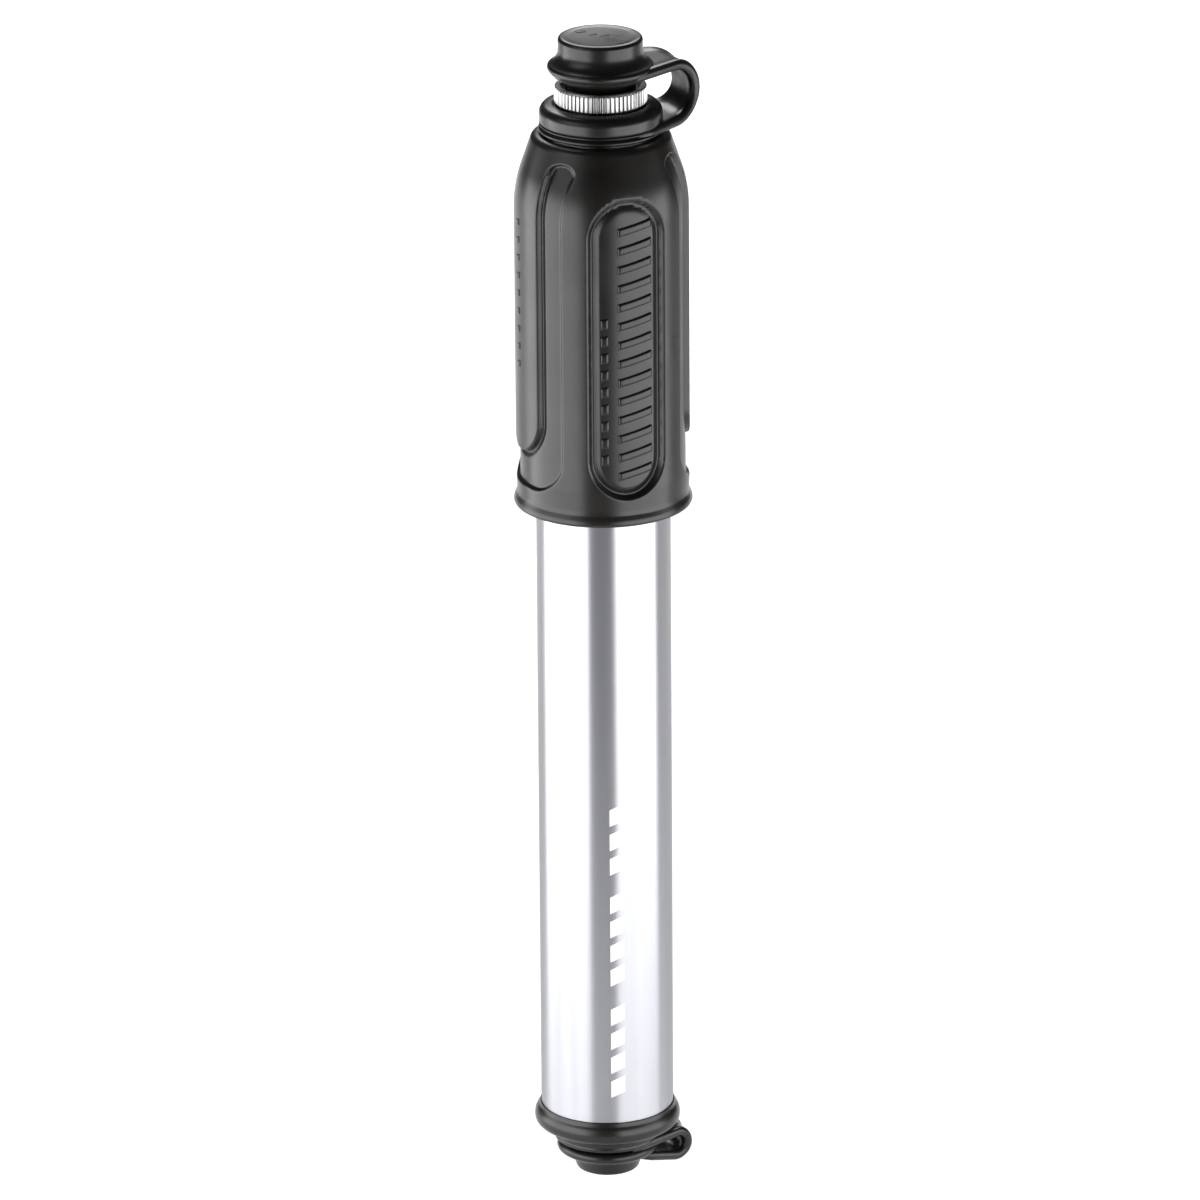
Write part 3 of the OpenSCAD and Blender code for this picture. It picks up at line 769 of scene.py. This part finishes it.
def ferrule(name, node):
    """A sleeve crimped on the hose, with three pressed grooves."""
    z0, z1 = heights(node)
    outline = [(4.0, z0 + 0.15)]
    for i in range(3):
        c = z0 + (z1 - z0) * (i + 1) / 4
        outline += [(4.0, c - 0.75), (3.97, c - 0.66), (3.84, c - 0.4), (3.82, c), (3.84, c + 0.4),
                    (3.97, c + 0.66), (4.0, c + 0.75)]
    outline += [(4.0, z1 - 0.15), (3.9, z1 - 0.02), (3.66, z1), (3.62, z1 - 0.04), (3.62, z0 + 0.04),
                (3.66, z0), (3.9, z0 + 0.02)]
    turned(name, outline, "machined_aluminium", "hose", node, segments=128)


ferrule("chuck_ferrule_crimped", "chuck_ferrule")
ferrule("fitting_ferrule_crimped", "fitting_ferrule")

check_low, check_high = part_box("check_spring")
spring = coil("check_spring_wound", 1.05, 0.14, (check_high[2] - check_low[2]) / MM, 4,
              Matrix.Translation((0, 0, check_low[2] / MM)))
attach(spring, "barrel")
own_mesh(spring)
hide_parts("check_spring")

bleed_low, bleed_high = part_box("bleed_spring")
button_z = (bleed_low[2] + bleed_high[2]) / 2 / MM
spring = coil("bleed_spring_wound", 0.8, 0.11, (bleed_high[1] - bleed_low[1]) / MM, 3,
              Matrix.Translation((0, bleed_high[1] / MM, button_z)) @ Matrix.Rotation(math.pi / 2, 4, "X"))
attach(spring, "hose")
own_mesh(spring)
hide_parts("bleed_spring")


# ---------- Stage, light and camera ----------

CAMERA_AZIMUTH, CAMERA_ELEVATION = -18, 20
PUMP_MIDDLE = (0, 0, 0.085)


def direction(azimuth, elevation):
    """From the pump towards a place at these angles in degrees, with azimuth 0 in front of the pump."""
    around, up = math.radians(azimuth), math.radians(elevation)
    return Vector((math.sin(around) * math.cos(up), -math.cos(around) * math.cos(up), math.sin(up)))


def make_stage():
    """A pale floor a little below the pump, which is held above it."""
    size, z = 12.0, -0.010
    mesh = bpy.data.meshes.new("floor")
    corners = [(-size, -size, z), (size, -size, z), (size, size, z), (-size, size, z)]
    mesh.from_pydata(corners, [], [(0, 1, 2, 3)])
    floor = bpy.data.objects.new("floor", mesh)
    bpy.context.scene.collection.objects.link(floor)
    floor.data.materials.append(finish_of("floor_paint", (0.86, 0.86, 0.86), (0.88, 0.88, 0.88), (0.8, 0.9),
                                          blotch=3, grain=200, bump=0.02, depth=0.1))


def softbox(name, azimuth, elevation, distance, size, power, spread=180, aim=PUMP_MIDDLE):
    """A rectangular light, hidden from the camera, that faces aim from the camera's azimuth plus this one."""
    lamp = bpy.data.lights.new(name, "AREA")
    lamp.shape = "RECTANGLE"
    lamp.size, lamp.size_y = size
    lamp.energy = power
    lamp.spread = math.radians(spread)
    light = bpy.data.objects.new(name, lamp)
    bpy.context.scene.collection.objects.link(light)
    back = direction(CAMERA_AZIMUTH + azimuth, elevation)
    light.location = Vector(aim) + back * distance
    light.rotation_mode = "QUATERNION"
    light.rotation_quaternion = (-back).to_track_quat("-Z", "Y")
    light.visible_camera = False


def make_light():
    """Low panels close on both sides light the upright surfaces and leave the grip's shoulder dark. Softboxes
    light it weakly from the upper left, from behind for the plug's top, and from above for the background."""
    world = bpy.data.worlds.new("studio")
    world.use_nodes = True
    world.node_tree.nodes["Background"].inputs["Color"].default_value = (1, 1, 1, 1)
    world.node_tree.nodes["Background"].inputs["Strength"].default_value = 0.05
    bpy.context.scene.world = world
    low_aim = (0, 0, 0.076)
    for i, azimuth in enumerate((-102, -71, -41)):
        softbox(f"left_panel_{i}", azimuth, 0, 0.2, size=(0.108, 0.165), power=0.1, spread=120, aim=low_aim)
    for i, azimuth in enumerate((31, 57, 83)):
        softbox(f"right_panel_{i}", azimuth, 0, 0.2, size=(0.092, 0.165), power=0.08, spread=120, aim=low_aim)
    softbox("left_softbox", -60, 30, 0.6, size=(0.6, 0.3), power=0.12, spread=64)
    softbox("top_softbox", 180, 48, 0.8, size=(0.6, 0.5), power=5.4)
    background = (0.3, 0.95, 0)
    softbox("back_softbox", -CAMERA_AZIMUTH, 90, 1.2, size=(1.6, 1.2), power=9, spread=70, aim=background)


def make_camera():
    """A long lens from the front left and above, rolled a little, with the pump just off its middle."""
    distance, rise, shift_left = 1.4, 0.00159, 0.00057
    back = direction(CAMERA_AZIMUTH, CAMERA_ELEVATION)
    right = direction(CAMERA_AZIMUTH + 90, 0)
    up = back.cross(right)
    roll = math.radians(0.4)
    tilted_right = right * math.cos(roll) - up * math.sin(roll)
    tilted_up = up * math.cos(roll) + right * math.sin(roll)
    place = Vector(PUMP_MIDDLE) + back * distance + up * rise - right * shift_left
    data = bpy.data.cameras.new("camera")
    data.lens, data.sensor_width = 296.6, 36
    data.clip_start, data.clip_end = 0.05, 50
    camera = bpy.data.objects.new("camera", data)
    bpy.context.scene.collection.objects.link(camera)
    turn = Matrix((tilted_right, tilted_up, back)).transposed().to_4x4()
    camera.matrix_world = Matrix.Translation(place) @ turn
    bpy.context.scene.camera = camera


make_stage()
make_light()
make_camera()
bpy.context.scene.view_settings.view_transform = "Standard"

bpy.context.view_layer.update()
